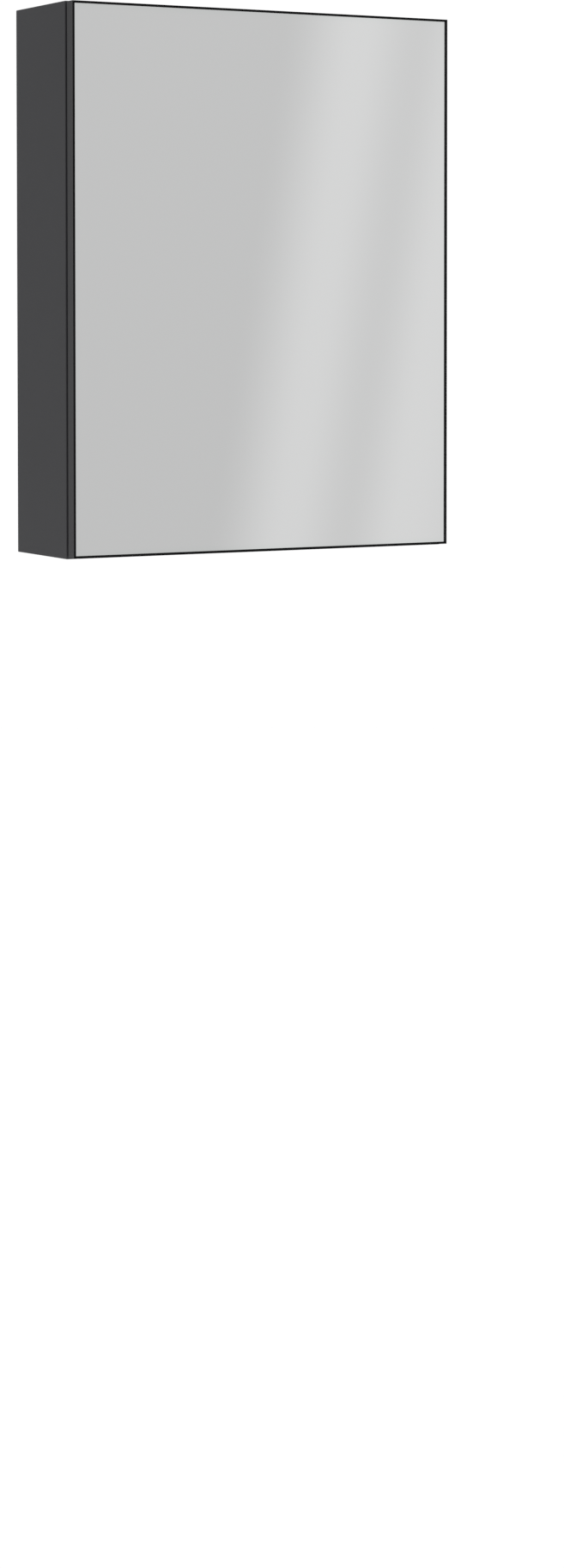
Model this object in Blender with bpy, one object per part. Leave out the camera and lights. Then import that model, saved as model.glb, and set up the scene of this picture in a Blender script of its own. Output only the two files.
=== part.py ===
"""Wall-hung bathroom cabinet with one mirrored door on two concealed hinges.

Metres, +Z up. The front faces -Y and the wall plane is Y = 0. The origin is the centre of the
hanging rail's rear face. Pieces are laid out in cabinet coordinates, with Z = 0 under the carcass,
and the empty "cabinet_frame" carries them down to that origin.

Hinge geometry is written as (u, v): u runs inwards from the outer face of the hinge-side panel,
and v runs forwards from the front edge of the carcass.
"""

import math

import bmesh
import bpy
from mathutils import Matrix, Vector

# Clearances
TOUCH = 0.0003  # between two pieces that touch
RUN = 0.0001  # radial play of a pin in an eye, at the flats of the eye
SPARE = 0.003  # by which a cutter runs past the piece it cuts

# Carcass of board
CARCASS_WIDTH = 0.550
CARCASS_HEIGHT = 0.700
CARCASS_DEPTH = 0.150
PANEL = 0.016
BACK_PANEL = 0.003
BACK_RECESS = 0.020  # from the wall to the rear of the back panel
GROOVE_DEPTH = 0.007
EDGE_ROUND = 0.0006
RAIL_HEIGHT = 0.060
RAIL_THICKNESS = 0.016
LOWER_RAIL_HEIGHT = 0.050

# Door
DOOR_BOARD = 0.0107
DOOR_GAP = 0.0035
DOOR_SIDE_INSET = 0.001
DOOR_TOP_INSET = 0.001
DOOR_BOTTOM_INSET = 0.002
FRAME_LIP = 0.0029
FRAME_LIP_THICKNESS = 0.0012
FRAME_WALL = 0.0016
MIRROR_THICKNESS = 0.004

# Glass shelves and the pins that they lie on
SHELF_THICKNESS = 0.006
SHELF_NAMES = ("lower", "upper")
SHELF_SIDE_PLAY = 0.001
SHELF_BACK_PLAY = 0.002
SHELF_FRONT_SETBACK = 0.010
PIN_RADIUS = 0.0025
PIN_DEPTH = 0.008
PIN_HOLE_DEPTH = 0.0095
PIN_COLLAR_RADIUS = 0.0045
PIN_COLLAR = 0.0008
PIN_REST_RADIUS = 0.004
PIN_REST_LENGTH = 0.009
PIN_FLAT = 0.002  # height of the flat that carries the glass above the pin's axis
PIN_FRONT_INSET = 0.037
PIN_REAR_INSET = 0.024
PIN_STEPS = 12
HOLE_PITCH = 0.032

# Concealed hinges
HINGE_END_DISTANCE = 0.095
CUP_RADIUS = 0.013
CUP_DEPTH = 0.0093
CUP_EDGE = 0.0045  # board left between the door's edge and the cup's hole
CUP_WALL = 0.0006
CUP_FLANGE = 0.0008
CUP_FLANGE_RIM = 0.0015
CUP_EAR_SPREAD = 0.019
CUP_EAR_RADIUS = 0.005
PIVOT_PIN_RADIUS = 0.001
LINK_EYE = 0.0024
LINK_BARREL = 0.0019
INNER_LINK_HALF_WIDTH = 0.0017
INNER_LINK_HALF_THICKNESS = 0.0008
OUTER_LINK_PLATE = 0.0012
OUTER_LINK_HALF_THICKNESS = 0.0012
LINK_SIDE_PLAY = 0.0003
ARM_CHEEK = 0.0012
ARM_LENGTH = 0.062
ARM_FOOT_SETBACK = 0.016  # from the carcass's front edge to where the arm meets its plate
ARM_WEB_SETBACK = 0.012  # from the inner pivot back to where the arm's web starts
COVER_THICKNESS = 0.0015
COVER_INSET = 0.001
PLATE_THICKNESS = 0.003
PLATE_SETBACK = 0.037  # screw line behind the carcass's front edge
PLATE_SCREW_SPREAD = 0.016
PLATE_STEM = 0.019
PLATE_WING = 0.007
PLATE_RIM = 0.005  # metal past the screws
PLATE_EDGE = 0.001  # by which the stem is wider than the arm
RIDGE_HEIGHT = 0.009
RIDGE_INSET = 0.002
# The arm's nose in steps of (u, v): up from its foot to the outer pivot, and down round the inner one
NOSE_FROM_OUTER = ((-0.0045, -0.006), (-0.0036, 0.0005), (-0.0015, 0.0034), (0.0025, 0.0034))
NOSE_FROM_INNER = ((0.001, 0.0042), (0.003, 0.0015), (0.003, -0.0025))

# Push latch on the side where the door opens
LATCH_LENGTH = 0.058
LATCH_WIDTH = 0.013
LATCH_SETBACK = 0.003
LATCH_EAR = 0.009
LATCH_EAR_THICKNESS = 0.003
LATCH_EDGE = 0.0012
PLUNGER_RADIUS = 0.0035
PLUNGER_LENGTH = 0.034
PLUNGER_EDGE = 0.0006
STRIKE_RADIUS = 0.008
STRIKE_THICKNESS = 0.001
PLUNGER_TRAVEL = 0.0025
BUMPER_RADIUS = 0.004
BUMPER_TOP_RADIUS = 0.0034
BUMPER_THICKNESS = 0.0012
BUMPER_END_DISTANCE = 0.048

# Hangers behind the back panel
HANGER_WIDTH = 0.040
HANGER_HEIGHT = 0.056
HANGER_TOP_PLAY = 0.004
WALL_PLATE = 0.002
WALL_PLATE_RISE = 0.0187  # above the underside of the hook's neck
WALL_SCREW_INSET = 0.007
HOOK_THICKNESS = 0.003
HOOK_WIDTH = 0.010
LIP_REACH = 0.009
LIP_HEIGHT = 0.018
ACCESS_HOLE_RADIUS = 0.010
CAP_RIM = 0.0025
CAP_THICKNESS = 0.0018
CAP_CHAMFER = 0.001
DOWEL_RADIUS = 0.004
DOWEL_LENGTH = 0.008
DOWEL_END_INSET = 0.0112

# Screws, each as (head radius, length, shank radius)
WALL_SCREW = (0.004, WALL_PLATE, 0.002)
PLATE_SCREW = (0.0035, 0.012, 0.0018)
CUP_SCREW = (0.003, 0.009, 0.0015)
LATCH_SCREW = (0.003, 0.011, 0.0015)

ROUND_STEPS = 16
CUP_STEPS = 28
SCREW_STEPS = 12

# Levels that follow from the sizes above
INNER_HALF_WIDTH = CARCASS_WIDTH / 2 - PANEL
RAIL_CENTRE = CARCASS_HEIGHT - PANEL - TOUCH - RAIL_HEIGHT / 2
BACK_FRONT = -(BACK_RECESS + BACK_PANEL)
DOOR_REAR = -(CARCASS_DEPTH + DOOR_GAP)
MIRROR_REAR = DOOR_REAR - DOOR_BOARD - TOUCH
MIRROR_FRONT = MIRROR_REAR - MIRROR_THICKNESS
DOOR_FRONT = MIRROR_FRONT - TOUCH - FRAME_LIP_THICKNESS
DOOR_HALF_WIDTH = CARCASS_WIDTH / 2 - DOOR_SIDE_INSET
DOOR_LOW = DOOR_BOTTOM_INSET
DOOR_HIGH = CARCASS_HEIGHT - DOOR_TOP_INSET
PLATE_INSIDE = INNER_LINK_HALF_WIDTH + LINK_SIDE_PLAY  # of the outer link, from its middle plane
PLATE_OUTSIDE = PLATE_INSIDE + OUTER_LINK_PLATE
CHEEK_INSIDE = PLATE_OUTSIDE + LINK_SIDE_PLAY
HINGE_HEIGHTS = {"lower": HINGE_END_DISTANCE, "upper": CARCASS_HEIGHT - HINGE_END_DISTANCE}
SHELF_PITCH = (CARCASS_HEIGHT - 2 * PANEL) / (len(SHELF_NAMES) + 1)
SHELF_LEVELS = {name: PANEL + SHELF_PITCH * (i + 1) for i, name in enumerate(SHELF_NAMES)}

# A hinge is bought as one piece, so all its pivots and bends keep their places from the middle of
# the cup's mouth, in (u, v), whatever the panel, the gap or the cup's own size.
CUP_MOUTH = Vector((DOOR_SIDE_INSET + CUP_EDGE + CUP_RADIUS, DOOR_GAP))
OUTER_ARM_PIVOT = CUP_MOUTH + Vector((0.0095, -0.0065))
OUTER_CUP_PIVOT = CUP_MOUTH + Vector((-0.0075, 0.0025))
OUTER_BEND = CUP_MOUTH + Vector((0.001, 0.0059))
INNER_ARM_PIVOT = CUP_MOUTH + Vector((0.019, -0.0145))
INNER_CUP_PIVOT = CUP_MOUTH + Vector((-0.0073, 0.0062))
INNER_BEND = CUP_MOUTH + Vector((0.0035, 0.0065))


def hinge_xy(point):
    """Cabinet X and Y of a hinge point given as (u, v)."""
    return Vector((CARCASS_WIDTH / 2 - point[0], -CARCASS_DEPTH - point[1]))


def clear_scene():
    for old in list(bpy.data.objects):
        bpy.data.objects.remove(old, do_unlink=True)


def finish(name, colour, roughness, metallic=0.0):
    made = bpy.data.materials.new(name)
    made.use_nodes = True
    shader = made.node_tree.nodes["Principled BSDF"]
    shader.inputs["Base Color"].default_value = (*colour, 1.0)
    shader.inputs["Roughness"].default_value = roughness
    shader.inputs["Metallic"].default_value = metallic
    made.diffuse_color = (*colour, 1.0)
    return made


def empty(name, location, parent=None):
    frame = bpy.data.objects.new(name, None)
    bpy.context.scene.collection.objects.link(frame)
    frame.parent = parent
    frame.location = Vector(location) - origin_of(parent)
    return frame


def origin_of(frame):
    """Where a frame stands in cabinet coordinates. No frame stands for the world's own origin."""
    spot = Vector((0, 0, RAIL_CENTRE))
    while frame:
        spot += frame.location
        frame = frame.parent
    return spot


def solid(name, bm, material, frame, origin=None):
    """Turns a mesh built in cabinet coordinates into an object with its origin where it is asked."""
    origin = origin_of(frame) if origin is None else Vector(origin)
    bmesh.ops.translate(bm, verts=bm.verts, vec=-origin)
    bmesh.ops.recalc_face_normals(bm, faces=bm.faces)
    mesh = bpy.data.meshes.new(name)
    bm.to_mesh(mesh)
    bm.free()
    made = bpy.data.objects.new(name, mesh)
    bpy.context.scene.collection.objects.link(made)
    made.parent = frame
    made.location = origin - origin_of(frame)
    if material:
        mesh.materials.append(material)
    return made


def hide(helper):
    helper.hide_render = True
    helper.display_type = "WIRE"


def combine(target, bm, operation):
    """Joins a mesh in cabinet coordinates to the target, or cuts it away, with a live Boolean."""
    name = f"{target.name}_{operation.lower()}_{len(target.modifiers) + 1}"
    helper = solid(name, bm, None, target.parent)
    hide(helper)
    step = target.modifiers.new(operation.title(), "BOOLEAN")
    step.operation = operation
    step.object = helper


def cut(target, bm):
    combine(target, bm, "DIFFERENCE")


def join(target, bm):
    combine(target, bm, "UNION")


def smooth(target, angle=math.radians(40)):
    target.data.shade_smooth()
    target.data.set_sharp_from_angle(angle=angle)


def round_edges(target, width):
    step = target.modifiers.new("Edges", "BEVEL")
    step.width = width
    step.segments = 1
    step.limit_method = "ANGLE"


# Mesh builders. Each returns a bmesh, and some can add to one they are given.


def box(low, high):
    bm = bmesh.new()
    low, high = Vector(low), Vector(high)
    centre = Matrix.Translation((low + high) / 2)
    size = Matrix.Diagonal((*(high - low), 1))
    bmesh.ops.create_cube(bm, size=1, matrix=centre @ size)
    return bm


def prism(outline, low, high):
    """Extrudes an outline of (x, y) points from Z = low to Z = high."""
    bm = bmesh.new()
    base = bm.faces.new([bm.verts.new((x, y, low)) for x, y in outline])
    grown = bmesh.ops.extrude_face_region(bm, geom=[base])["geom"]
    moved = [item for item in grown if isinstance(item, bmesh.types.BMVert)]
    bmesh.ops.translate(bm, verts=moved, vec=(0, 0, high - low))
    return bm


def lay_along_x(bm):
    """Turns a mesh built on (y, z) outlines and Z heights so that it runs along X."""
    turn = Matrix(((0, 0, 1, 0), (1, 0, 0, 0), (0, 1, 0, 0), (0, 0, 0, 1)))
    bmesh.ops.transform(bm, matrix=turn, verts=bm.verts)
    return bm


def turned(profile, centre, direction, steps=ROUND_STEPS, bm=None):
    """Revolves (radius, height) points, both ends on the axis, about a direction through a centre."""
    bm = bm or bmesh.new()
    aim = Vector(direction).to_track_quat("Z", "Y").to_matrix().to_4x4()
    place = Matrix.Translation(Vector(centre)) @ aim
    rings = []
    for radius, height in profile:
        if radius == 0:
            rings.append([bm.verts.new(place @ Vector((0, 0, height)))])
            continue
        angles = [2 * math.pi * (i + 0.5) / steps for i in range(steps)]
        around = [Vector((radius * math.cos(a), radius * math.sin(a), height)) for a in angles]
        rings.append([bm.verts.new(place @ point) for point in around])
    for lower, upper in zip(rings, rings[1:]):
        for i in range(steps):
            j = (i + 1) % steps
            corners = [lower[i % len(lower)], lower[j % len(lower)]]
            corners += [upper[j % len(upper)], upper[i % len(upper)]]
            bm.faces.new(list(dict.fromkeys(corners)))
    return bm


def rod(centre, direction, radius, length, steps=ROUND_STEPS, bm=None):
    """A cylinder that starts at the centre and runs along the direction."""
    return turned([(0, 0), (radius, 0), (radius, length), (0, length)], centre, direction, steps, bm)


def bent_outline(ends, bend, end_radii, slim, steps=8):
    """The outline of a link that runs from one round end over a bend to the other."""
    first, last = (Vector(end) for end in ends)
    bend = Vector(bend)
    before = (bend - first).normalized()
    after = (last - bend).normalized()
    left_before, left_after = before.orthogonal(), after.orthogonal()
    turn = before.angle_signed(after)
    mitre = (left_before + left_after).normalized() * slim / math.cos(turn / 2)
    outline = half_turn(first, -left_before, end_radii[0], -1, steps)
    outline += [bend + mitre]
    outline += half_turn(last, left_after, end_radii[1], -1, steps)
    outline += [bend - mitre]
    return outline


def half_turn(centre, start, radius, sense, steps):
    """Points round half a circle, from the start direction on."""
    return [
        centre + Matrix.Rotation(sense * math.pi * i / steps, 2) @ start * radius
        for i in range(steps + 1)
    ]


def hull(bm):
    made = bmesh.ops.convex_hull(bm, input=bm.verts)
    unused = {v for v in made["geom_interior"] if isinstance(v, bmesh.types.BMVert)}
    bmesh.ops.delete(bm, geom=list(unused), context="VERTS")
    flat = math.radians(0.5)
    bmesh.ops.dissolve_limit(bm, angle_limit=flat, verts=bm.verts, edges=bm.edges)
    return bm


def screw(name, face, direction, kind, thickness, metal, frame, through, pilot=None):
    """A pan-head screw through a plate, from the given point on the plate's outer face.

    Its holes are added to "through", for the plate, and to "pilot", for the board behind it.
    """
    head_radius, length, shank = kind
    face, direction = Vector(face), Vector(direction)
    head = face - direction * TOUCH
    rod(head, direction, shank + TOUCH, thickness + 2 * TOUCH, SCREW_STEPS, through)
    if pilot:
        seat = face + direction * thickness
        rod(seat, direction, shank + TOUCH, length - thickness + TOUCH, SCREW_STEPS, pilot)
    head_height = 0.45 * head_radius
    profile = [
        (0, -head_height),
        (0.7 * head_radius, -head_height),
        (head_radius, -0.4 * head_height),
        (head_radius, 0),
        (shank, 0),
        (shank, length - 1.2 * shank if pilot else length),
        (0, length),
    ]
    smooth(solid(name, turned(profile, head, direction, SCREW_STEPS), metal, frame, head))


# Carcass: five panels, with the back panel in a groove all round


def build_carcass(frame, board, rail_board):
    panels = {}
    for side, sign in (("left", -1), ("right", 1)):
        inner = sign * INNER_HALF_WIDTH
        outer = sign * CARCASS_WIDTH / 2
        low = (min(inner, outer), -CARCASS_DEPTH, 0)
        high = (max(inner, outer), 0, CARCASS_HEIGHT)
        panel = solid(f"side_panel_{side}", box(low, high), board, frame)
        round_edges(panel, EDGE_ROUND)
        groove = inner + sign * GROOVE_DEPTH
        cut(
            panel,
            box(
                (min(inner - sign * TOUCH, groove), BACK_FRONT - TOUCH, PANEL - GROOVE_DEPTH),
                (
                    max(inner - sign * TOUCH, groove),
                    -BACK_RECESS + TOUCH,
                    CARCASS_HEIGHT - PANEL + GROOVE_DEPTH,
                ),
            ),
        )
        panels[side] = panel
    half = INNER_HALF_WIDTH - TOUCH
    for level, low, groove_low in (
        ("bottom", 0, PANEL - GROOVE_DEPTH),
        ("top", CARCASS_HEIGHT - PANEL, CARCASS_HEIGHT - PANEL - TOUCH),
    ):
        panel = solid(
            f"{level}_panel",
            box((-half, -CARCASS_DEPTH, low), (half, 0, low + PANEL)),
            board,
            frame,
        )
        round_edges(panel, EDGE_ROUND)
        cut(
            panel,
            box(
                (-half - TOUCH, BACK_FRONT - TOUCH, groove_low),
                (half + TOUCH, -BACK_RECESS + TOUCH, groove_low + GROOVE_DEPTH + TOUCH),
            ),
        )
        panels[level] = panel
    reach = GROOVE_DEPTH - TOUCH
    back = solid(
        "back_panel",
        box(
            (-INNER_HALF_WIDTH - reach, BACK_FRONT, PANEL - reach),
            (INNER_HALF_WIDTH + reach, -BACK_RECESS, CARCASS_HEIGHT - PANEL + reach),
        ),
        board,
        frame,
    )
    panels["back"] = back
    rail_half = INNER_HALF_WIDTH - HANGER_WIDTH - 2 * TOUCH
    solid(
        "hanging_rail",
        box(
            (-rail_half, -RAIL_THICKNESS, RAIL_CENTRE - RAIL_HEIGHT / 2),
            (rail_half, 0, RAIL_CENTRE + RAIL_HEIGHT / 2),
        ),
        rail_board,
        frame,
    )
    solid(
        "lower_rail",
        box(
            (-half, -RAIL_THICKNESS, PANEL + TOUCH),
            (half, 0, PANEL + TOUCH + LOWER_RAIL_HEIGHT),
        ),
        rail_board,
        frame,
    )
    return panels


# Shelves: two glass shelves, each on four push-in pins, with spare holes above and below


def shelf_pin_lines():
    return {
        "front": -(CARCASS_DEPTH - PIN_FRONT_INSET),
        "rear": BACK_FRONT - PIN_REAR_INSET,
    }


def build_shelves(frame, panels, glass, pin_metal):
    half = INNER_HALF_WIDTH - SHELF_SIDE_PLAY
    for name, level in SHELF_LEVELS.items():
        shelf = solid(
            f"glass_shelf_{name}",
            box(
                (-half, -(CARCASS_DEPTH - SHELF_FRONT_SETBACK), level),
                (half, BACK_FRONT - SHELF_BACK_PLAY, level + SHELF_THICKNESS),
            ),
            glass,
            frame,
        )
        round_edges(shelf, EDGE_ROUND)
        axis_level = level - TOUCH - PIN_FLAT
        for side, sign in (("left", -1), ("right", 1)):
            for row, y in shelf_pin_lines().items():
                seat = (sign * INNER_HALF_WIDTH, y, axis_level)
                build_pin(f"shelf_pin_{name}_{side}_{row}", seat, sign, pin_metal, frame)
    for side, sign in (("left", -1), ("right", 1)):
        holes = bmesh.new()
        for level in SHELF_LEVELS.values():
            for step in (-1, 0, 1):
                for y in shelf_pin_lines().values():
                    z = level - TOUCH - PIN_FLAT + step * HOLE_PITCH
                    start = (sign * (INNER_HALF_WIDTH - TOUCH), y, z)
                    depth = PIN_HOLE_DEPTH + TOUCH
                    rod(start, (sign, 0, 0), PIN_RADIUS + TOUCH, depth, PIN_STEPS, holes)
        cut(panels[side], holes)


def build_pin(name, seat, sign, metal, frame):
    """A turned pin whose part inside the cabinet has a flat on top for the glass."""
    collar = TOUCH + PIN_COLLAR
    profile = [
        (0, -PIN_DEPTH),
        (PIN_RADIUS, -PIN_DEPTH),
        (PIN_RADIUS, TOUCH),
        (PIN_COLLAR_RADIUS, TOUCH),
        (PIN_COLLAR_RADIUS, collar),
        (PIN_REST_RADIUS, collar),
        (PIN_REST_RADIUS, collar + PIN_REST_LENGTH),
        (0, collar + PIN_REST_LENGTH),
    ]
    bm = turned(profile, (0, 0, 0), (-sign, 0, 0), PIN_STEPS)
    for vertex in bm.verts:
        if vertex.co.x * -sign > TOUCH / 2:
            vertex.co.z = min(vertex.co.z, PIN_FLAT)
    bmesh.ops.translate(bm, verts=bm.verts, vec=Vector(seat))
    pin = solid(name, bm, metal, frame, seat)
    smooth(pin)


# Hangers: a block dowelled into each side panel, a hook through it, and the plate on the wall


def build_hangers(frame, panels, steel, cap_plastic):
    block_front = -(BACK_RECESS - 2 * TOUCH)
    block_rear = -(LIP_REACH + 2 * TOUCH)
    block_high = CARCASS_HEIGHT - PANEL - HANGER_TOP_PLAY
    block_low = block_high - HANGER_HEIGHT
    neck_level = (block_low + block_high) / 2 + HOOK_THICKNESS
    dowel_y = (block_front + block_rear) / 2
    access_holes = bmesh.new()
    for side, sign in (("left", -1), ("right", 1)):
        outer = sign * (INNER_HALF_WIDTH - TOUCH)
        inner = outer - sign * HANGER_WIDTH
        middle = (outer + inner) / 2
        block = solid(
            f"hanger_block_{side}",
            box(
                (min(outer, inner), block_front, block_low),
                (max(outer, inner), block_rear, block_high),
            ),
            steel,
            frame,
        )
        sockets = bmesh.new()
        for z in (block_low + DOWEL_END_INSET, block_high - DOWEL_END_INSET):
            start = (outer - sign * DOWEL_RADIUS, dowel_y, z)
            length = DOWEL_LENGTH + DOWEL_RADIUS
            join(block, rod(start, (sign, 0, 0), DOWEL_RADIUS, length, PIN_STEPS))
            socket = DOWEL_LENGTH + 3 * TOUCH
            rod((outer, dowel_y, z), (sign, 0, 0), DOWEL_RADIUS + TOUCH, socket, PIN_STEPS, sockets)
        cut(panels[side], sockets)
        window = HOOK_WIDTH / 2 + TOUCH
        cut(
            block,
            box(
                (middle - window, block_front - TOUCH, neck_level - LIP_HEIGHT / 2),
                (middle + window, block_rear + TOUCH, neck_level + HOOK_THICKNESS + TOUCH),
            ),
        )
        build_hook(f"hanger_hook_{side}", middle, neck_level, block_front, steel, frame)
        build_wall_plate(side, middle, neck_level, steel, frame)
        access = (middle, BACK_FRONT - TOUCH, neck_level)
        hole_depth = BACK_PANEL + 2 * TOUCH
        rod(access, (0, 1, 0), ACCESS_HOLE_RADIUS, hole_depth, CUP_STEPS, access_holes)
        cap = turned(
            [
                (0, -CAP_THICKNESS),
                (ACCESS_HOLE_RADIUS + CAP_RIM - CAP_CHAMFER, -CAP_THICKNESS),
                (ACCESS_HOLE_RADIUS + CAP_RIM, CAP_CHAMFER - CAP_THICKNESS),
                (ACCESS_HOLE_RADIUS + CAP_RIM, 0),
                (ACCESS_HOLE_RADIUS - TOUCH, 0),
                (ACCESS_HOLE_RADIUS - TOUCH, BACK_PANEL),
                (0, BACK_PANEL),
            ],
            access,
            (0, 1, 0),
            CUP_STEPS,
        )
        smooth(solid(f"hanger_cap_{side}", cap, cap_plastic, frame, access))
    cut(panels["back"], access_holes)


def build_hook(name, middle, neck_level, block_front, steel, frame):
    """The neck runs through the block, and the claw drops behind the wall plate's lip."""
    claw_rear = -(WALL_PLATE + TOUCH)
    claw_front = claw_rear - HOOK_THICKNESS
    low = neck_level - LIP_HEIGHT + 2 * HOOK_THICKNESS
    high = neck_level + HOOK_THICKNESS
    outline = [
        (claw_rear, low),
        (claw_rear, high),
        (block_front + TOUCH, high),
        (block_front + TOUCH, neck_level),
        (claw_front, neck_level),
        (claw_front, low),
    ]
    half = HOOK_WIDTH / 2
    bm = lay_along_x(prism(outline, middle - half, middle + half))
    solid(name, bm, steel, frame, (middle, 0, neck_level))


def build_wall_plate(side, middle, neck_level, steel, frame):
    """A steel plate screwed to the wall, folded up in front into the lip that the hook drops over."""
    lip_high = neck_level - TOUCH
    lip_low = lip_high - LIP_HEIGHT
    plate_high = neck_level + WALL_PLATE_RISE
    outline = [
        (0, plate_high),
        (0, lip_low),
        (-LIP_REACH, lip_low),
        (-LIP_REACH, lip_high),
        (-LIP_REACH + WALL_PLATE, lip_high),
        (-LIP_REACH + WALL_PLATE, lip_low + WALL_PLATE),
        (-WALL_PLATE, lip_low + WALL_PLATE),
        (-WALL_PLATE, plate_high),
    ]
    half = HANGER_WIDTH / 2
    bm = lay_along_x(prism(outline, middle - half, middle + half))
    plate = solid(f"wall_plate_{side}", bm, steel, frame, (middle, 0, neck_level))
    face = (middle, -WALL_PLATE, plate_high - WALL_SCREW_INSET)
    hole = bmesh.new()
    screw(f"wall_screw_{side}", face, (0, 1, 0), WALL_SCREW, WALL_PLATE, steel, frame, hole)
    cut(plate, hole)


# Door: four mitred frame profiles round a mirror bonded to a board


def build_door(frame, frame_metal, mirror, board):
    low, high = DOOR_LOW, DOOR_HIGH
    corners = {
        "left": ((-DOOR_HALF_WIDTH, low), (-DOOR_HALF_WIDTH, high)),
        "top": ((-DOOR_HALF_WIDTH, high), (DOOR_HALF_WIDTH, high)),
        "right": ((DOOR_HALF_WIDTH, high), (DOOR_HALF_WIDTH, low)),
        "bottom": ((DOOR_HALF_WIDTH, low), (-DOOR_HALF_WIDTH, low)),
    }
    for name, ends in corners.items():
        solid(f"door_frame_{name}", frame_profile(*ends), frame_metal, frame)
    wall = FRAME_WALL + TOUCH
    solid(
        "mirror_glass",
        box(
            (-DOOR_HALF_WIDTH + wall, MIRROR_FRONT, low + wall),
            (DOOR_HALF_WIDTH - wall, MIRROR_REAR, high - wall),
        ),
        mirror,
        frame,
    )
    return solid(
        "door_board",
        box(
            (-DOOR_HALF_WIDTH + wall, DOOR_REAR - DOOR_BOARD, low + wall),
            (DOOR_HALF_WIDTH - wall, DOOR_REAR, high - wall),
        ),
        board,
        frame,
    )


def frame_profile(start, end):
    """An L-section along one edge of the door, mitred at both ends. Corners are (x, z)."""
    start, end = Vector(start), Vector(end)
    along = (end - start).normalized()
    inward = Vector((along.y, -along.x))
    section = [
        (0, DOOR_FRONT),
        (FRAME_LIP, DOOR_FRONT),
        (FRAME_LIP, DOOR_FRONT + FRAME_LIP_THICKNESS),
        (FRAME_WALL, DOOR_FRONT + FRAME_LIP_THICKNESS),
        (FRAME_WALL, DOOR_REAR),
        (0, DOOR_REAR),
    ]
    bm = bmesh.new()
    ends = []
    for corner, direction in ((start, along), (end, -along)):
        loop = []
        for inset, y in section:
            at = corner + inward * inset + direction * (inset + TOUCH / 2)
            loop.append(bm.verts.new((at.x, y, at.y)))
        bm.faces.new(loop)
        ends.append(loop)
    for i in range(len(section)):
        j = (i + 1) % len(section)
        bm.faces.new([ends[0][i], ends[0][j], ends[1][j], ends[1][i]])
    return bm


# Hinges: mounting plate, arm, cup and the two links between arm and cup


def build_hinge_plate(name, level, panel, steel, frame):
    x_face = INNER_HALF_WIDTH - TOUCH
    centre_y = -(CARCASS_DEPTH - PLATE_SETBACK)
    wing_reach = PLATE_SCREW_SPREAD + PLATE_RIM
    stem_half = CHEEK_INSIDE + ARM_CHEEK + PLATE_EDGE
    outline = [
        (centre_y - PLATE_STEM, -stem_half),
        (centre_y - PLATE_WING, -stem_half),
        (centre_y - PLATE_WING, -wing_reach),
        (centre_y + PLATE_WING, -wing_reach),
        (centre_y + PLATE_WING, -stem_half),
        (centre_y + PLATE_STEM, -stem_half),
        (centre_y + PLATE_STEM, stem_half),
        (centre_y + PLATE_WING, stem_half),
        (centre_y + PLATE_WING, wing_reach),
        (centre_y - PLATE_WING, wing_reach),
        (centre_y - PLATE_WING, stem_half),
        (centre_y - PLATE_STEM, stem_half),
    ]
    bm = lay_along_x(prism(outline, x_face - PLATE_THICKNESS, x_face))
    bmesh.ops.translate(bm, verts=bm.verts, vec=(0, 0, level))
    plate = solid(f"hinge_plate_{name}", bm, steel, frame, (x_face, centre_y, level))
    ridge_half = CHEEK_INSIDE - TOUCH
    ridge = PLATE_STEM - RIDGE_INSET
    ridge_top = x_face - PLATE_THICKNESS - RIDGE_HEIGHT
    join(
        plate,
        box(
            (ridge_top, centre_y - ridge, level - ridge_half),
            (x_face - PLATE_THICKNESS / 2, centre_y + ridge, level + ridge_half),
        ),
    )
    through, pilot = bmesh.new(), bmesh.new()
    for side, sign in (("low", -1), ("high", 1)):
        face = (x_face - PLATE_THICKNESS, centre_y, level + sign * PLATE_SCREW_SPREAD)
        title = f"plate_screw_{name}_{side}"
        screw(title, face, (1, 0, 0), PLATE_SCREW, PLATE_THICKNESS, steel, frame, through, pilot)
    cut(plate, through)
    cut(panel, pilot)


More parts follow.
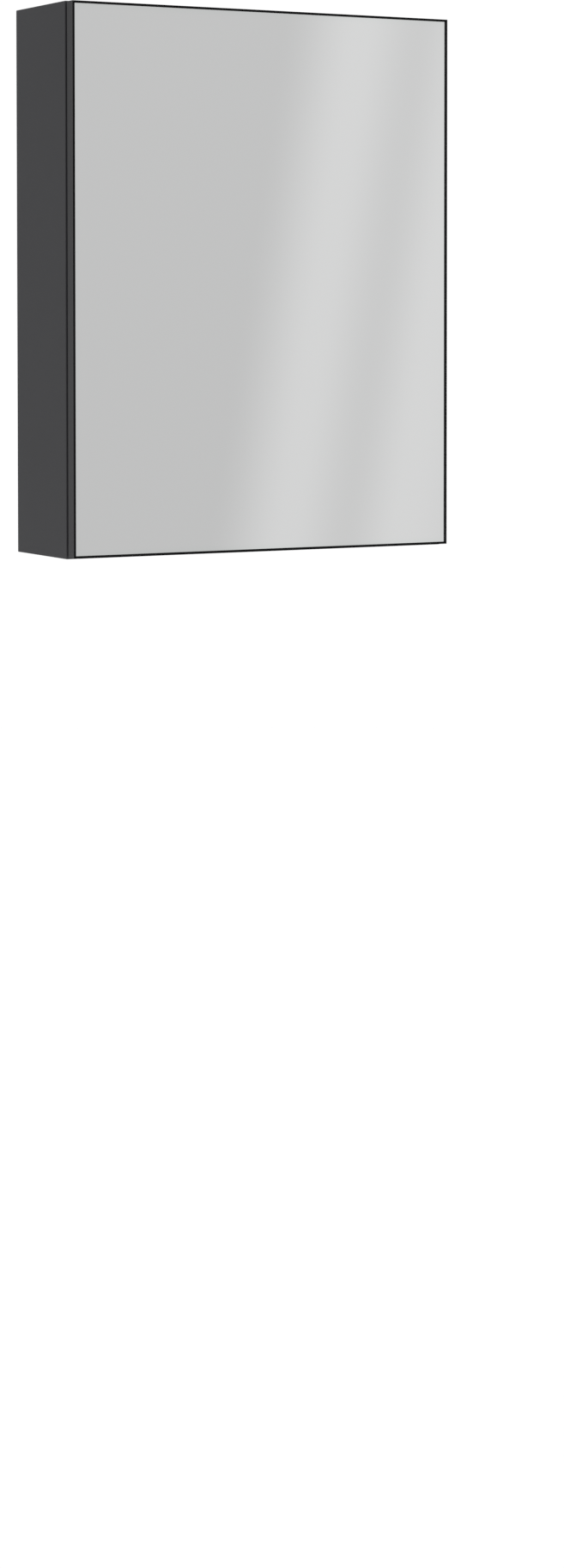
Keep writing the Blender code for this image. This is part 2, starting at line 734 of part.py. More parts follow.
def build_hinge_arm(name, level, steel, cover_plastic, frame):
    """A steel channel over the plate's ridge, with its open front end holding both fixed pivots."""
    base = PANEL + TOUCH + PLATE_THICKNESS + TOUCH
    web_inner = PANEL + TOUCH + PLATE_THICKNESS + RIDGE_HEIGHT + TOUCH
    web_outer = web_inner + ARM_CHEEK
    near, far = OUTER_ARM_PIVOT, INNER_ARM_PIVOT
    web_front = far.y - ARM_WEB_SETBACK
    outline = [(base, -ARM_LENGTH), (base, -ARM_FOOT_SETBACK)]
    outline += [near + Vector(step) for step in NOSE_FROM_OUTER]
    outline += [far + Vector(step) for step in NOSE_FROM_INNER]
    outline += [(web_outer, web_front), (web_outer, -ARM_LENGTH)]
    outer_half = CHEEK_INSIDE + ARM_CHEEK
    points = [hinge_xy(point) for point in outline]
    bm = prism(points, level - outer_half, level + outer_half)
    origin = (*hinge_xy(near), level)
    arm = solid(f"hinge_arm_{name}", bm, steel, frame, origin)
    past_nose = far.x + NOSE_FROM_INNER[1][0] + SPARE
    past_front = near.y + NOSE_FROM_OUTER[-1][1] + SPARE
    hollow = [
        (base - SPARE, -ARM_LENGTH - SPARE),
        (web_inner, -ARM_LENGTH - SPARE),
        (web_inner, web_front),
        (past_nose, web_front),
        (past_nose, past_front),
        (base - SPARE, past_front),
    ]
    points = [hinge_xy(point) for point in hollow]
    cut(arm, prism(points, level - CHEEK_INSIDE, level + CHEEK_INSIDE))
    half_pin = CHEEK_INSIDE + ARM_CHEEK / 2
    for pivot in (near, far):
        foot = (*hinge_xy(pivot), level - half_pin)
        join(arm, rod(foot, (0, 0, 1), PIVOT_PIN_RADIUS, 2 * half_pin, PIN_STEPS))
    cover_low = hinge_xy((web_outer + TOUCH + COVER_THICKNESS, web_front - COVER_INSET))
    cover_high = hinge_xy((web_outer + TOUCH, -ARM_LENGTH + COVER_INSET))
    cover = solid(
        f"hinge_cover_{name}",
        box((*cover_low, level - outer_half), (*cover_high, level + outer_half)),
        cover_plastic,
        frame,
    )
    round_edges(cover, EDGE_ROUND)


def build_cup(name, level, board, steel, frame):
    centre = hinge_xy(CUP_MOUTH)
    into = (0, -1, 0)
    flange_rear = DOOR_REAR + TOUCH
    flange = bmesh.new()
    ears = [(0, CUP_RADIUS + CUP_FLANGE_RIM)]
    ears += [(sign * CUP_EAR_SPREAD, CUP_EAR_RADIUS) for sign in (-1, 1)]
    for offset, radius in ears:
        for i in range(CUP_STEPS):
            angle = 2 * math.pi * (i + 0.5) / CUP_STEPS
            x = centre.x + radius * math.cos(angle)
            z = level + offset + radius * math.sin(angle)
            for y in (flange_rear, flange_rear + CUP_FLANGE):
                flange.verts.new((x, y, z))
    cup = solid(f"hinge_cup_{name}", hull(flange), steel, frame)
    outer = CUP_RADIUS - TOUCH
    top = (centre.x, flange_rear + CUP_FLANGE / 2, level)
    depth = CUP_DEPTH + CUP_FLANGE / 2
    join(cup, rod(top, into, outer, depth, CUP_STEPS))
    rim = (centre.x, flange_rear + CUP_FLANGE + TOUCH, level)
    inner_depth = CUP_DEPTH + CUP_FLANGE + TOUCH - CUP_WALL
    cut(cup, rod(rim, into, outer - CUP_WALL, inner_depth, CUP_STEPS))
    pin_edge = CUP_MOUTH.x - OUTER_CUP_PIVOT.x + PIVOT_PIN_RADIUS
    reach = math.sqrt(outer**2 - pin_edge**2) - CUP_WALL / 6  # ends inside the cup's wall
    pivot = hinge_xy(OUTER_CUP_PIVOT)
    foot = (*pivot, level - reach)
    join(cup, rod(foot, (0, 0, 1), PIVOT_PIN_RADIUS, 2 * reach, PIN_STEPS))
    clear = 2 * PIVOT_PIN_RADIUS
    cut(
        cup,
        box(
            (pivot.x - clear, pivot.y - clear, level - PLATE_INSIDE),
            (pivot.x + clear, pivot.y + clear, level + PLATE_INSIDE),
        ),
    )
    recess = bmesh.new()
    mouth = (centre.x, DOOR_REAR + TOUCH, level)
    rod(mouth, into, CUP_RADIUS, CUP_DEPTH + 2 * TOUCH, CUP_STEPS, recess)
    through = bmesh.new()
    for side, sign in (("low", -1), ("high", 1)):
        face = (centre.x, flange_rear + CUP_FLANGE, level + sign * CUP_EAR_SPREAD)
        title = f"cup_screw_{name}_{side}"
        screw(title, face, into, CUP_SCREW, CUP_FLANGE, steel, frame, through, recess)
    cut(cup, through)
    cut(board, recess)


def build_outer_link(name, level, steel, frame):
    """The link that carries the door: two plates, joined by a barrel on the arm's pivot."""
    ends = (hinge_xy(OUTER_ARM_PIVOT), hinge_xy(OUTER_CUP_PIVOT))
    radii = (OUTER_LINK_HALF_THICKNESS, LINK_EYE)
    outline = bent_outline(ends, hinge_xy(OUTER_BEND), radii, OUTER_LINK_HALF_THICKNESS)
    barrel_half = PLATE_OUTSIDE + RUN
    barrel = rod((*ends[0], level - barrel_half), (0, 0, 1), LINK_BARREL, 2 * barrel_half)
    link = solid(f"hinge_link_outer_{name}", barrel, steel, frame, (*ends[0], level))
    join(link, prism(outline, level - PLATE_OUTSIDE, level - PLATE_INSIDE))
    join(link, prism(outline, level + PLATE_INSIDE, level + PLATE_OUTSIDE))
    bore_link(link, ends, level, barrel_half)


def build_inner_link(name, level, steel, frame):
    """A bar between the outer link's plates, with a barrel on the arm's rear pivot."""
    ends = (hinge_xy(INNER_ARM_PIVOT), hinge_xy(INNER_CUP_PIVOT))
    slim = INNER_LINK_HALF_THICKNESS
    outline = bent_outline(ends, hinge_xy(INNER_BEND), (slim, slim), slim)
    barrel_half = PLATE_OUTSIDE + RUN
    barrel = rod((*ends[0], level - barrel_half), (0, 0, 1), LINK_EYE, 2 * barrel_half)
    link = solid(f"hinge_link_inner_{name}", barrel, steel, frame, (*ends[0], level))
    join(link, prism(outline, level - INNER_LINK_HALF_WIDTH, level + INNER_LINK_HALF_WIDTH))
    bore_link(link, ends[:1], level, barrel_half)


def bore_link(link, ends, level, half):
    """Bores for the pivot pins, wide enough that the flats between the bore's corners clear a pin."""
    radius = (PIVOT_PIN_RADIUS + RUN) / math.cos(math.pi / ROUND_STEPS)
    bores = bmesh.new()
    for end in ends:
        foot = (*end, level - half - TOUCH)
        rod(foot, (0, 0, 1), radius, 2 * (half + TOUCH), ROUND_STEPS, bores)
    cut(link, bores)


# Push latch, with the strike plate and the bumpers on the door


def build_latch(cabinet, plunger_frame, door, panel, plastic, rubber, steel, level):
    face = -(INNER_HALF_WIDTH - TOUCH)
    front = -(CARCASS_DEPTH - LATCH_SETBACK)
    half = LATCH_WIDTH / 2
    axis_x = face + half
    housing = solid(
        "latch_housing",
        box((face, front, level - half), (face + LATCH_WIDTH, front + LATCH_LENGTH, level + half)),
        plastic,
        cabinet,
        (axis_x, front, level),
    )
    round_edges(housing, LATCH_EDGE)
    ear_y = front + LATCH_LENGTH / 2
    ear_reach = half + LATCH_EAR
    join(
        housing,
        box(
            (face, ear_y - LATCH_EAR / 2, level - ear_reach),
            (face + LATCH_EAR_THICKNESS, ear_y + LATCH_EAR / 2, level + ear_reach),
        ),
    )
    bore = PLUNGER_RADIUS + TOUCH
    bore_depth = PLUNGER_LENGTH + PLUNGER_TRAVEL
    cut(housing, rod((axis_x, front - TOUCH, level), (0, 1, 0), bore, bore_depth))
    through, pilot = bmesh.new(), bmesh.new()
    outwards = (-1, 0, 0)
    for side, sign in (("low", -1), ("high", 1)):
        spot = (face + LATCH_EAR_THICKNESS, ear_y, level + sign * (half + LATCH_EAR / 2))
        title = f"latch_screw_{side}"
        thickness = LATCH_EAR_THICKNESS
        screw(title, spot, outwards, LATCH_SCREW, thickness, steel, cabinet, through, pilot)
    cut(housing, through)
    cut(panel, pilot)
    strike_rear = DOOR_REAR + TOUCH
    disc = [(0, 0), (STRIKE_RADIUS, 0), (STRIKE_RADIUS, STRIKE_THICKNESS), (0, STRIKE_THICKNESS)]
    plate = turned(disc, (axis_x, strike_rear, level), (0, 1, 0), CUP_STEPS)
    smooth(solid("strike_plate", plate, steel, door))
    tip = strike_rear + STRIKE_THICKNESS + TOUCH
    profile = [
        (0, 0),
        (PLUNGER_RADIUS - PLUNGER_EDGE, 0),
        (PLUNGER_RADIUS, PLUNGER_EDGE),
        (PLUNGER_RADIUS, PLUNGER_LENGTH),
        (0, PLUNGER_LENGTH),
    ]
    plunger = turned(profile, (axis_x, tip, level), (0, 1, 0))
    smooth(solid("latch_plunger", plunger, plastic, plunger_frame, (axis_x, tip, level)))
    bumper_x = -(CARCASS_WIDTH / 2 - PANEL / 2)
    pad = [(0, 0), (BUMPER_RADIUS, 0), (BUMPER_TOP_RADIUS, BUMPER_THICKNESS), (0, BUMPER_THICKNESS)]
    levels = {"lower": BUMPER_END_DISTANCE, "upper": CARCASS_HEIGHT - BUMPER_END_DISTANCE}
    for side, z in levels.items():
        seat = (bumper_x, strike_rear, z)
        bumper = solid(f"door_bumper_{side}", turned(pad, seat, (0, 1, 0)), rubber, door)
        smooth(bumper)


def main():
    clear_scene()
    anthracite = finish("anthracite_board", (0.052, 0.054, 0.057), 0.50)
    raw_board = finish("rail_board", (0.30, 0.24, 0.17), 0.80)
    black_metal = finish("black_aluminium", (0.012, 0.012, 0.013), 0.35, 0.6)
    mirror = finish("mirror", (0.86, 0.87, 0.87), 0.02, 1.0)
    glass = finish("shelf_glass", (0.80, 0.88, 0.86), 0.05)
    steel = finish("nickel_steel", (0.62, 0.61, 0.59), 0.30, 1.0)
    grey_plastic = finish("grey_plastic", (0.10, 0.10, 0.105), 0.45)
    rubber = finish("clear_rubber", (0.55, 0.56, 0.56), 0.60)

    world = empty("cabinet_frame", (0, 0, 0))
    middle = CARCASS_HEIGHT / 2
    latch_x = -(INNER_HALF_WIDTH - TOUCH) + LATCH_WIDTH / 2
    outer_axis = empty("outer_link_axis", (*hinge_xy(OUTER_ARM_PIVOT), middle), world)
    inner_axis = empty("inner_link_axis", (*hinge_xy(INNER_ARM_PIVOT), middle), world)
    door_axis = empty("door_axis", (*hinge_xy(OUTER_CUP_PIVOT), middle), outer_axis)
    plunger_axis = empty("plunger_axis", (latch_x, -CARCASS_DEPTH, middle), world)

    panels = build_carcass(world, anthracite, raw_board)
    build_shelves(world, panels, glass, steel)
    build_hangers(world, panels, steel, grey_plastic)
    board = build_door(door_axis, black_metal, mirror, anthracite)
    for name, level in HINGE_HEIGHTS.items():
        build_hinge_plate(name, level, panels["right"], steel, world)
        build_hinge_arm(name, level, steel, grey_plastic, world)
        build_cup(name, level, board, steel, door_axis)
        build_outer_link(name, level, steel, outer_axis)
        build_inner_link(name, level, steel, inner_axis)
    build_latch(
        world, plunger_axis, door_axis, panels["left"], grey_plastic, rubber, steel, middle
    )


main()
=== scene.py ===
"""A shallow wall-hung bathroom cabinet with one mirrored door, in the order in which it is made."""

import math

import bmesh
import bpy
from mathutils import Matrix, Vector


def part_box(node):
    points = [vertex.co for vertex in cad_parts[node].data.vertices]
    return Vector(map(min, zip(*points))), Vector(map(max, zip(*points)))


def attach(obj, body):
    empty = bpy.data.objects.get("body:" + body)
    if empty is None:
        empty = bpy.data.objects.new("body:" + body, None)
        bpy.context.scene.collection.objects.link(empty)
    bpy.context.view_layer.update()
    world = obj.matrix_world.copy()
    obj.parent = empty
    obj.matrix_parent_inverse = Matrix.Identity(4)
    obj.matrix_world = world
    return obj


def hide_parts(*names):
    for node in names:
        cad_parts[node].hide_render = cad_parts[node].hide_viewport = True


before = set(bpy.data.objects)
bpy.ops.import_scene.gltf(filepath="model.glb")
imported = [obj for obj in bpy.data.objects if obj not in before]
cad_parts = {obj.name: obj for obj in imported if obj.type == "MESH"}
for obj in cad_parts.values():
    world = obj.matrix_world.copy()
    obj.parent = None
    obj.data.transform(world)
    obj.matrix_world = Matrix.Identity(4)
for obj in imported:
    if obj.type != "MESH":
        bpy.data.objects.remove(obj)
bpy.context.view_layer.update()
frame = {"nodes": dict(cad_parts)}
nodes = frame["nodes"]


# The carcass boards. 16 mm particle board with an anthracite melamine skin that has a fine pearl
# texture. The front edges carry a glued band. Rear edges, grooves and drilled holes are bare board.

BAND = 0.001
SKIN = 0.0007
MELAMINE = (0.033, 0.033, 0.036)
GLUE_LINE = (0.012, 0.012, 0.013)
CHIP_LIGHT = (0.40, 0.315, 0.215)
CHIP_DARK = (0.23, 0.17, 0.11)


class Signal:
    """One output of a node tree. Arithmetic on it adds Math nodes to the tree."""

    def __init__(self, nodes, socket):
        self.nodes = nodes
        self.socket = socket

    def math(self, operation, first, second=0.0):
        return self.nodes.add("ShaderNodeMath", {"operation": operation}, {0: first, 1: second})

    def __add__(self, other):
        return self.math("ADD", self, other)

    def __sub__(self, other):
        return self.math("SUBTRACT", self, other)

    def __rsub__(self, other):
        return self.math("SUBTRACT", other, self)

    def __mul__(self, other):
        return self.math("MULTIPLY", self, other)

    def __abs__(self):
        return self.math("ABSOLUTE", self)

    def or_more(self, other):
        """The larger of the two."""
        return self.math("MAXIMUM", self, other)

    __radd__ = __add__
    __rmul__ = __mul__


class Nodes:
    """A node tree that is being built."""

    def __init__(self, tree):
        self.tree = tree

    def add(self, kind, settings=None, inputs=None, out=0):
        """Adds a node and returns its output, or several where "out" is a tuple."""
        made = self.tree.nodes.new(kind)
        for key, value in (settings or {}).items():
            setattr(made, key, value)
        for key, value in (inputs or {}).items():
            if isinstance(value, Signal):
                self.tree.links.new(value.socket, made.inputs[key])
            else:
                made.inputs[key].default_value = value
        if isinstance(out, tuple):
            return [Signal(self, made.outputs[key]) for key in out]
        return Signal(self, made.outputs[out])

    def rise(self, value, low, high):
        """0 below low and 1 above high, with a smooth step between. Falls where low is the larger."""
        settings = {"interpolation_type": "SMOOTHSTEP"}
        return self.add("ShaderNodeMapRange", settings, {"Value": value, "From Min": low, "From Max": high})

    def inside(self, value, low, high, soft=0.0001):
        return self.rise(value, low - soft, low) * self.rise(value, high + soft, high)


class Finish(Nodes):
    """A material. Its pattern is laid out in the metres of the piece itself."""

    def __init__(self, name, **constants):
        self.material = bpy.data.materials.new(name)
        self.material.use_nodes = True
        super().__init__(self.material.node_tree)
        self.shader = self.tree.nodes["Principled BSDF"]
        for key, value in constants.items():
            self.shader.inputs[key.replace("_", " ")].default_value = value
        self.place = self.add("ShaderNodeTexCoord", out="Object")
        self.x, self.y, self.z = self.add("ShaderNodeSeparateXYZ", None, {0: self.place}, (0, 1, 2))

    def feed(self, **signals):
        for key, signal in signals.items():
            self.tree.links.new(signal.socket, self.shader.inputs[key.replace("_", " ")])

    def stretched(self, scale):
        return self.add("ShaderNodeMapping", None, {"Vector": self.place, "Scale": scale})

    def noise(self, scale, detail=2.0, stretch=(1, 1, 1)):
        inputs = {"Vector": self.stretched(stretch), "Scale": scale, "Detail": detail}
        return self.add("ShaderNodeTexNoise", None, inputs)

    def mix(self, share, first, second):
        """Blends two colours."""
        first, second = ((*c, 1.0) if isinstance(c, tuple) else c for c in (first, second))
        return self.add("ShaderNodeMix", {"data_type": "RGBA"}, {0: share, 6: first, 7: second}, 2)

    def bump(self, height, distance, strength=1.0, over=None):
        inputs = {"Height": height, "Distance": distance, "Strength": strength}
        if over:
            inputs["Normal"] = over
        return self.add("ShaderNodeBump", None, inputs)


def shades(colour, spread):
    """A darker and a lighter version of a colour."""
    return tuple(c * (1 - spread) for c in colour), tuple(c * (1 + spread) for c in colour)


def chip_colour(finish, scale=520):
    """Pressed wood chips: ragged flakes of many browns in a bed of fine fibres."""
    ragged = finish.add("ShaderNodeTexNoise", None, {"Vector": finish.place, "Scale": 800, "Detail": 4.0}, 1)
    inputs = {0: ragged, 1: (0.006, 0.006, 0.006), 2: finish.place}
    torn = finish.add("ShaderNodeVectorMath", {"operation": "MULTIPLY_ADD"}, inputs)
    flakes = finish.add("ShaderNodeTexVoronoi", None, {"Vector": torn, "Scale": scale}, "Color")
    flake, _ = finish.add("ShaderNodeSeparateXYZ", None, {0: flakes}, (0, 1))
    fibres = finish.noise(1900, 5.0)
    return finish.mix(flake * 0.45 + fibres * 0.55, CHIP_DARK, CHIP_LIGHT)


def melamine(node, rear=SKIN):
    """The skin of one board, with bare chips where it is cut into and, if rear is 0, on its rear edge."""
    low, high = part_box(node)
    made = Finish(f"melamine_{node}", Specular_IOR_Level=0.2)
    pearl = made.noise(1100, 3.0)
    cloud = made.noise(9, 3.0)
    dark, light = shades(MELAMINE, 0.12)
    skin = made.mix(cloud * 0.5 + pearl * 0.5, dark, light)
    seam = 1 - made.rise(abs(made.y - (low[1] + BAND)), 0.00008, 0.0002)
    skin = made.mix(seam * 0.6, skin, GLUE_LINE)
    across = made.inside(made.x, low[0] + SKIN, high[0] - SKIN)
    upright = made.inside(made.z, low[2] + SKIN, high[2] - SKIN)
    cut = across * upright * made.inside(made.y, low[1] + SKIN, high[1] + SKIN - 2 * rear)
    made.feed(Base_Color=made.mix(cut, skin, chip_colour(made)))
    made.feed(Roughness=0.44 + pearl * 0.12 + cut * 0.3)
    grain = made.bump(pearl, 0.00006, 0.55)
    made.feed(Normal=made.bump(made.noise(700, 4.0) * cut, 0.0003, 0.6, grain))
    return made.material


def wear(node, material):
    """Puts a material on a carried-over node."""
    for slot in nodes[node].material_slots:
        slot.material = material


for board in ("side_panel_left", "side_panel_right", "top_panel", "bottom_panel"):
    wear(board, melamine(board, 0))
wear("back_panel", melamine("back_panel"))


# The two rails behind the back panel. Bare particle board, planed on its faces and sawn at its ends,
# glued between the side panels so that they lie flush against the wall.


def bare_chipboard():
    made = Finish("bare_chipboard", Specular_IOR_Level=0.2)
    relief = made.noise(600, 5.0)
    made.feed(Base_Color=chip_colour(made, 300), Roughness=0.72 + relief * 0.2)
    made.feed(Normal=made.bump(relief, 0.0003, 0.5))
    return made.material


chipboard = bare_chipboard()
for rail in ("hanging_rail", "lower_rail"):
    wear(rail, chipboard)


# The hangers. A zinc block dowelled into each side panel holds a steel hook that drops behind the
# lip of a plate screwed to the wall. A round cap closes the hole through which the hook is set.

CAP_RADIUS = 0.0125
CAP_RISE = 0.0018
CAP_FOOT = 0.0003
HEAD_RISE = 0.45  # of a screw head's radius, above the face that it is driven against
FIRST_TURN, NEXT_TURN = 0.6, 1.9
WALL_SCREW = (0.004, 0.002, 0.002)  # radius of the head, radius of the shank, length


def plated_steel(name, colour, grain=(1, 1, 1), roughness=0.27):
    """Nickel-plated pressed steel, with fine rolling marks and faint cloudy patches."""
    made = Finish(name, Metallic=1.0)
    marks = made.noise(2600, 3.0, grain)
    cloud = made.noise(70, 3.0)
    dark, light = shades(colour, 0.10)
    made.feed(Base_Color=made.mix(cloud * 0.6 + marks * 0.4, dark, light))
    made.feed(Roughness=roughness - 0.06 + marks * 0.10 + cloud * 0.06)
    made.feed(Normal=made.bump(marks, 0.00002, 0.5))
    return made.material


def galvanised(name):
    """Zinc-coated steel with the flat crystal spangles that the bath leaves."""
    made = Finish(name, Metallic=1.0)
    crystal = made.add("ShaderNodeTexVoronoi", None, {"Vector": made.place, "Scale": 330}, "Color")
    shade, _ = made.add("ShaderNodeSeparateXYZ", None, {0: crystal}, (0, 1))
    made.feed(Base_Color=made.mix(shade, (0.50, 0.51, 0.52), (0.64, 0.65, 0.65)))
    made.feed(Roughness=0.34 + shade * 0.16)
    made.feed(Normal=made.bump(made.noise(900, 3.0), 0.00003, 0.5))
    return made.material


def moulded(name, colour, roughness=0.42):
    """Injection-moulded plastic with a fine spark-eroded grain."""
    made = Finish(name, Specular_IOR_Level=0.4)
    grain = made.noise(2400, 3.0)
    flow = made.noise(45, 2.0)
    dark, light = shades(colour, 0.10)
    made.feed(Base_Color=made.mix(grain * 0.5 + flow * 0.5, dark, light))
    made.feed(Roughness=roughness + grain * 0.12)
    made.feed(Normal=made.bump(grain, 0.00005, 0.5))
    return made.material


def lathe(profile, steps=32, ring=False):
    """Revolves (radius, height) points about +Z. Both ends lie on the axis, unless they join in a ring."""
    bm = bmesh.new()
    rings = []
    for radius, height in profile:
        turns = [2 * math.pi * i / steps for i in range(steps if radius else 1)]
        rings.append([bm.verts.new((radius * math.cos(t), radius * math.sin(t), height)) for t in turns])
    for lower, upper in zip(rings, rings[1:] + rings[:1] if ring else rings[1:]):
        for i in range(steps):
            j = (i + 1) % steps
            corners = [lower[i % len(lower)], lower[j % len(lower)]]
            corners += [upper[j % len(upper)], upper[i % len(upper)]]
            bm.faces.new(list(dict.fromkeys(corners)))
    bmesh.ops.recalc_face_normals(bm, faces=bm.faces)
    return bm


def pattern(name, bm, angle=35):
    """An object to copy or to keep, with smooth faces and sharp creases."""
    mesh = bpy.data.meshes.new(name)
    bm.to_mesh(mesh)
    bm.free()
    mesh.shade_smooth()
    mesh.set_sharp_from_angle(angle=math.radians(angle))
    made = bpy.data.objects.new(name, mesh)
    bpy.context.scene.collection.objects.link(made)
    return made


def settle(made):
    """Replaces an object's live modifiers with the plain mesh that they give."""
    graph = bpy.context.evaluated_depsgraph_get()
    mesh = bpy.data.meshes.new_from_object(made.evaluated_get(graph))
    made.modifiers.clear()
    made.data = mesh
    return made


def carve(made, *cutters):
    """Cuts meshes out of an object."""
    for bm in cutters:
        tool = pattern("cutter", bm)
        step = made.modifiers.new("Cut", "BOOLEAN")
        step.operation = "DIFFERENCE"
        step.object = tool
        settle(made)
        bpy.data.objects.remove(tool, do_unlink=True)
    made.data.set_sharp_from_angle(angle=math.radians(35))
    return made


def wedge(length, width, depth, top):
    """A bar across the axis that narrows downwards from the given height, for a driver's recess."""
    bm = bmesh.new()
    for share, z in ((1.0, top + depth * 0.2), (0.45, top - depth)):
        for x, y in ((-1, -1), (1, -1), (1, 1), (-1, 1)):
            bm.verts.new((x * length * share, y * width * (0.6 + 0.4 * share), z))
    bmesh.ops.convex_hull(bm, input=bm.verts)
    return bm


def quarter_turned(bm):
    bmesh.ops.rotate(bm, verts=bm.verts, matrix=Matrix.Rotation(math.pi / 2, 3, "Z"))
    return bm


def cross_head_screw(head, shank, length):
    """A pan-head screw with a cross recess. Z = 0 is the head's underside and the shank points down."""
    rise = 0.5 * head
    profile = [(0, rise), (0.45 * head, 0.97 * rise), (0.8 * head, 0.75 * rise), (0.97 * head, 0.35 * rise)]
    profile += [(head, 0), (shank, 0), (shank, -length + shank), (0.3 * shank, -length), (0, -length)]
    made = pattern("screw", lathe(profile, 24))
    arm = (0.55 * head, 0.09 * head, 0.75 * rise, rise)
    return carve(made, wedge(*arm), quarter_turned(wedge(*arm)))


def set_on_points_tree():
    """A tree that sets one piece on each point of a mesh, aimed along the point's own direction."""
    tree = bpy.data.node_groups.new("set_on_points", "GeometryNodeTree")
    entries = {"Points": "Geometry", "Piece": "Object", "Finish": "Material", "Size": "Float"}
    for title, kind in entries.items():
        tree.interface.new_socket(title, in_out="INPUT", socket_type=f"NodeSocket{kind}")
    tree.interface.new_socket("Pieces", in_out="OUTPUT", socket_type="NodeSocketGeometry")
    names = {
        "given": "NodeGroupInput",
        "result": "NodeGroupOutput",
        "direction": "GeometryNodeInputNamedAttribute",
        "turn": "GeometryNodeInputNamedAttribute",
        "aim": "FunctionNodeAlignRotationToVector",
        "spin": "FunctionNodeAxisAngleToRotation",
        "both": "FunctionNodeRotateRotation",
        "piece": "GeometryNodeObjectInfo",
        "set": "GeometryNodeInstanceOnPoints",
        "real": "GeometryNodeRealizeInstances",
        "coat": "GeometryNodeSetMaterial",
    }
    made = {key: tree.nodes.new(kind) for key, kind in names.items()}
    made["direction"].data_type = "FLOAT_VECTOR"
    made["direction"].inputs["Name"].default_value = "direction"
    made["turn"].data_type = "FLOAT"
    made["turn"].inputs["Name"].default_value = "turn"
    made["aim"].axis = "Z"
    made["spin"].inputs["Axis"].default_value = (0, 0, 1)
    made["both"].rotation_space = "LOCAL"
    made["piece"].inputs["As Instance"].default_value = True
    wires = (
        ("given", "Points", "set", "Points"),
        ("given", "Piece", "piece", "Object"),
        ("given", "Finish", "coat", "Material"),
        ("given", "Size", "set", "Scale"),
        ("direction", "Attribute", "aim", "Vector"),
        ("turn", "Attribute", "spin", "Angle"),
        ("aim", "Rotation", "both", "Rotation"),
        ("spin", "Rotation", "both", "Rotate By"),
        ("both", "Rotation", "set", "Rotation"),
        ("piece", "Geometry", "set", "Instance"),
        ("set", "Instances", "real", "Geometry"),
        ("real", "Geometry", "coat", "Geometry"),
        ("coat", "Geometry", "result", "Pieces"),
    )
    for start, output, end, entry in wires:
        tree.links.new(made[start].outputs[output], made[end].inputs[entry])
    return tree


SET_ON_POINTS = set_on_points_tree()


def set_out(name, piece, places, finish, body, stands_for=()):
    """Copies a piece to each (point, direction, turn), as one plain mesh that rides on a body."""
    mesh = bpy.data.meshes.new(name)
    mesh.from_pydata([place[0] for place in places], [], [])
    aims = mesh.attributes.new("direction", "FLOAT_VECTOR", "POINT")
    aims.data.foreach_set("vector", [c for place in places for c in place[1]])
    turns = mesh.attributes.new("turn", "FLOAT", "POINT")
    turns.data.foreach_set("value", [place[2] for place in places])
    made = bpy.data.objects.new(name, mesh)
    bpy.context.scene.collection.objects.link(made)
    step = made.modifiers.new("Set out", "NODES")
    step.node_group = SET_ON_POINTS
    values = {"Piece": piece, "Finish": finish, "Size": 1.0}
    for socket in SET_ON_POINTS.interface.items_tree:
        if socket.name in values:
            step[socket.identifier] = values[socket.name]
    settle(made)
    bpy.data.objects.remove(piece, do_unlink=True)
    for attribute in ("direction", "turn"):
        if attribute in made.data.attributes:
            made.data.attributes.remove(made.data.attributes[attribute])
    return keep(made, finish, body, stands_for)


def keep(made, finish, body, stands_for=()):
    """Gives a finished piece its material and its body, and hides the nodes that it stands for."""
    made.data.materials.clear()
    made.data.materials.append(finish)
    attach(made, body)
    if stands_for:
        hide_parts(*stands_for)
    return made


def middle(node):
    low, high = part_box(node)
    return (low + high) / 2


def underside(node, direction, rise):
    """Where a screw's head meets its plate, from the node's own box."""
    low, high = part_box(node)
    direction = Vector(direction)
    reach = abs((high - low).dot(direction)) / 2
    return middle(node) + direction * (reach - rise)


def screws(name, titles, direction, size, body):
    """Cross-head screws in place of the plain ones, each stopped at its own angle by the driver."""
    rise = HEAD_RISE * size[0]
    places = [
        (underside(title, direction, rise), direction, FIRST_TURN + NEXT_TURN * i)
        for i, title in enumerate(titles)
    ]
    set_out(name, cross_head_screw(*size), places, bright_steel, body, titles)


bright_steel = plated_steel("bright_nickel_plate", (0.62, 0.61, 0.59))
for side in ("left", "right"):
    wear(f"wall_plate_{side}", galvanised(f"galvanised_plate_{side}"))
    wear(f"hanger_hook_{side}", plated_steel(f"hook_steel_{side}", (0.56, 0.55, 0.53), (1, 6, 1), 0.34))
    wear(f"hanger_block_{side}", plated_steel(f"cast_zinc_{side}", (0.43, 0.44, 0.45), (1, 1, 1), 0.46))
screws("wall_screws", ("wall_screw_left", "wall_screw_right"), (0, -1, 0), WALL_SCREW, "cabinet")

grey_plastic = moulded("grey_moulded_plastic", (0.085, 0.086, 0.09))


def access_cap():
    """A push-in cap with a rounded rim, a shallow dish and a slot for a screwdriver's blade."""
    profile = [(0, CAP_RISE - 0.0005), (0.0085, CAP_RISE - 0.0005), (0.0095, CAP_RISE - 0.0001)]
    profile += [(0.0108, CAP_RISE), (0.0118, CAP_RISE - 0.0003), (0.0124, CAP_RISE - 0.0009)]
    profile += [(CAP_RADIUS, 0.0002), (CAP_RADIUS - 0.0002, 0), (0.0097, 0), (0.0094, -0.003), (0, -0.003)]
    made = pattern("cap", lathe(profile, 48))
    blade = wedge(0.0022, 0.0011, 0.0012, CAP_RISE)
    bmesh.ops.translate(blade, verts=blade.verts, vec=(CAP_RADIUS - 0.0006, 0, 0))
    return carve(made, blade)


back_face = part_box("back_panel")[0].y
caps = ["hanger_cap_left", "hanger_cap_right"]
cap_places = []
for cap in caps:
    spot = middle(cap)
    spot.y = back_face - CAP_FOOT
    cap_places.append((spot, (0, -1, 0), math.pi / 2))
set_out("access_caps", access_cap(), cap_places, grey_plastic, "cabinet", caps)


# The shelves. 6 mm clear float glass with ground and polished edges, lying loose on four turned
# steel pins each. The pins push into drilled holes, and more holes let the shelves be moved.


